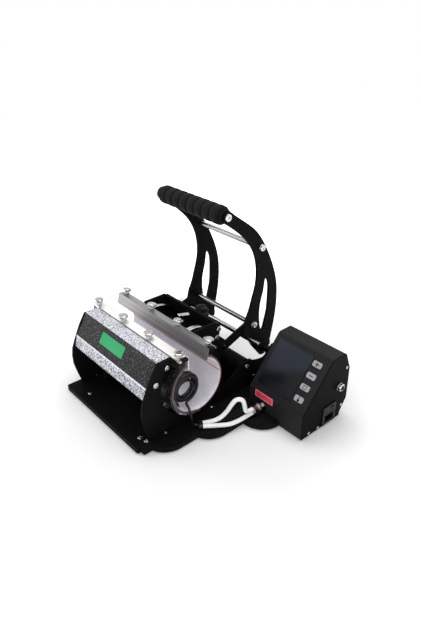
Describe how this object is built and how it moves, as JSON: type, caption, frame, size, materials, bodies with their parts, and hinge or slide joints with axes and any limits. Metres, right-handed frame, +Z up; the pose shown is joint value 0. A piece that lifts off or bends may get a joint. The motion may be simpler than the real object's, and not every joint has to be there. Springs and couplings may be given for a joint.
{
  "type": "tumbler heat press",
  "caption": "Bench heat press with an open horseshoe mat that a lever handle closes round a tumbler, with a sloped control box beside it.",
  "frame": {"origin": "centre of the footprint of the whole press on the floor", "axes": "+X along the bore to the operator's right, +Y to the rear, +Z up"},
  "size_m": [0.43, 0.3704, 0.3805],
  "materials": {
    "black_powder_coat": "satin powder coat",
    "silver_hammertone": "hammertone paint with fine sparkle",
    "stainless": "brushed",
    "chrome_plate": "polished",
    "silicone": "matte silicone",
    "foam": "closed-cell foam",
    "foot_rubber": "matte",
    "box_paint": "fine satin paint",
    "panel_film": "printed polyester overlay",
    "display_pane": "gloss",
    "key_caps": "matte",
    "inlet_plastic": "moulded",
    "rocker_plastic": "gloss",
    "green_film": "satin",
    "red_film": "satin",
    "white_sleeve": "woven glass sleeve",
    "lead_rubber": "satin",
    "board_laminate": "matte"
  },
  "bodies": {
    "frame": {"axle_spacers": "chrome_plate", "base_plate": "black_powder_coat", "box_screws": "chrome_plate", "box_shell": "box_paint", "circuit_board": "board_laminate", "connector_plug": "chrome_plate", "connector_socket": "chrome_plate", "control_panel": "panel_film", "cross_tube": "black_powder_coat", "display_window": "display_pane", "frame_screws": "chrome_plate", "front_clamp_strip": "stainless", "front_saddle": "silver_hammertone", "front_shell": "silver_hammertone", "fuse_holder": "chrome_plate", "green_plate": "green_film", "guide_bracket": "black_powder_coat", "guide_rods": "chrome_plate", "heating_mat": "silicone", "lead_coil": "lead_rubber", "left_side_plate": "black_powder_coat", "main_axle": "chrome_plate", "mat_lead": "lead_rubber", "power_inlet": "inlet_plastic", "rear_panel": "black_powder_coat", "red_plate": "red_film", "right_box_end": "box_paint", "right_side_plate": "black_powder_coat", "rubber_feet": "foot_rubber", "white_leads": "white_sleeve"},
    "handle": {"left_arm": "black_powder_coat", "right_arm": "black_powder_coat", "handle_tube": "chrome_plate", "foam_grip": "foam", "upper_rod": "chrome_plate", "elbow_rod": "chrome_plate", "stop_rod": "chrome_plate"},
    "links": {"left_link": "black_powder_coat", "right_link": "black_powder_coat", "link_bolts": "chrome_plate"},
    "carriage": {"rear_saddle": "black_powder_coat", "rear_clamp_strip": "stainless", "rear_clamp_bar": "black_powder_coat", "carriage_tray": "black_powder_coat", "carriage_sides": "black_powder_coat", "carriage_bolts": "chrome_plate"},
    "down_key": {"down_key": "key_caps"},
    "front_thumb_screw_1": {"front_thumb_screw_1": "chrome_plate"},
    "front_thumb_screw_2": {"front_thumb_screw_2": "chrome_plate"},
    "front_thumb_screw_3": {"front_thumb_screw_3": "chrome_plate"},
    "front_thumb_screw_4": {"front_thumb_screw_4": "chrome_plate"},
    "mode_key": {"mode_key": "key_caps"},
    "pressure_knob": {"pressure_knob": "inlet_plastic"},
    "rear_thumb_screw_1": {"rear_thumb_screw_1": "chrome_plate"},
    "rear_thumb_screw_2": {"rear_thumb_screw_2": "chrome_plate"},
    "rear_thumb_screw_3": {"rear_thumb_screw_3": "chrome_plate"},
    "rear_thumb_screw_4": {"rear_thumb_screw_4": "chrome_plate"},
    "rocker": {"rocker": "rocker_plastic"},
    "timer_key": {"timer_key": "key_caps"},
    "up_key": {"up_key": "key_caps"}
  },
  "joints": [
    {"name": "handle_swing", "type": "hinge", "parent": "frame", "child": "handle", "pos_m": [-0.077, 0.15379, 0.06], "axis": [1, 0, 0], "range_deg": [0, 26]},
    {"name": "carriage_slide", "type": "slide", "parent": "frame", "child": "carriage", "axis": [0, -1, 0], "range_m": [0, 0.0316], "deforming": ["heating_mat"]},
    {"name": "link_swing", "type": "hinge", "parent": "handle", "child": "links", "pos_m": [-0.077, 0.11979, 0.127], "axis": [1, 0, 0], "range_deg": [-42.6, 0]},
    {"name": "pressure_knob_turn", "type": "hinge", "parent": "carriage", "child": "pressure_knob", "pos_m": [-0.077, 0.03079, 0.1445], "axis": [0, 0.9703, -0.2419], "range_deg": [-720, 720]},
    {"name": "front_thumb_screw_1_turn", "type": "hinge", "parent": "frame", "child": "front_thumb_screw_1", "pos_m": [-0.2015, -0.09221, 0.1625], "axis": [0, 0, 1], "range_deg": [0, 1080]},
    {"name": "front_thumb_screw_2_turn", "type": "hinge", "parent": "frame", "child": "front_thumb_screw_2", "pos_m": [-0.117, -0.09221, 0.1625], "axis": [0, 0, 1], "range_deg": [0, 1080]},
    {"name": "front_thumb_screw_3_turn", "type": "hinge", "parent": "frame", "child": "front_thumb_screw_3", "pos_m": [-0.037, -0.09221, 0.1625], "axis": [0, 0, 1], "range_deg": [0, 1080]},
    {"name": "front_thumb_screw_4_turn", "type": "hinge", "parent": "frame", "child": "front_thumb_screw_4", "pos_m": [0.0475, -0.09221, 0.1625], "axis": [0, 0, 1], "range_deg": [0, 1080]},
    {"name": "rear_thumb_screw_1_turn", "type": "hinge", "parent": "carriage", "child": "rear_thumb_screw_1", "pos_m": [-0.2015, -0.02851, 0.16008], "axis": [0, 0.2419, 0.9703], "range_deg": [0, 1080]},
    {"name": "rear_thumb_screw_2_turn", "type": "hinge", "parent": "carriage", "child": "rear_thumb_screw_2", "pos_m": [-0.117, -0.02851, 0.16008], "axis": [0, 0.2419, 0.9703], "range_deg": [0, 1080]},
    {"name": "rear_thumb_screw_3_turn", "type": "hinge", "parent": "carriage", "child": "rear_thumb_screw_3", "pos_m": [-0.037, -0.02851, 0.16008], "axis": [0, 0.2419, 0.9703], "range_deg": [0, 1080]},
    {"name": "rear_thumb_screw_4_turn", "type": "hinge", "parent": "carriage", "child": "rear_thumb_screw_4", "pos_m": [0.0475, -0.02851, 0.16008], "axis": [0, 0.2419, 0.9703], "range_deg": [0, 1080]},
    {"name": "timer_key_press", "type": "slide", "parent": "frame", "child": "timer_key", "axis": [0, 0.7774, -0.6289], "range_m": [0, 0.0009], "stiffness_N_per_m": 600, "springref_m": -0.001},
    {"name": "mode_key_press", "type": "slide", "parent": "frame", "child": "mode_key", "axis": [0, 0.7774, -0.6289], "range_m": [0, 0.0009], "stiffness_N_per_m": 600, "springref_m": -0.001},
    {"name": "down_key_press", "type": "slide", "parent": "frame", "child": "down_key", "axis": [0, 0.7774, -0.6289], "range_m": [0, 0.0009], "stiffness_N_per_m": 600, "springref_m": -0.001},
    {"name": "up_key_press", "type": "slide", "parent": "frame", "child": "up_key", "axis": [0, 0.7774, -0.6289], "range_m": [0, 0.0009], "stiffness_N_per_m": 600, "springref_m": -0.001},
    {"name": "rocker_tilt", "type": "hinge", "parent": "frame", "child": "rocker", "pos_m": [0.205, 0.12379, 0.0335], "axis": [0, 0, 1], "range_deg": [0, 16]}
  ],
  "couplings": [
    {"joint": "carriage_slide", "follows": "handle_swing", "m_per_rad": 0.06933},
    {"joint": "link_swing", "follows": "handle_swing", "ratio": -1.62}
  ]
}
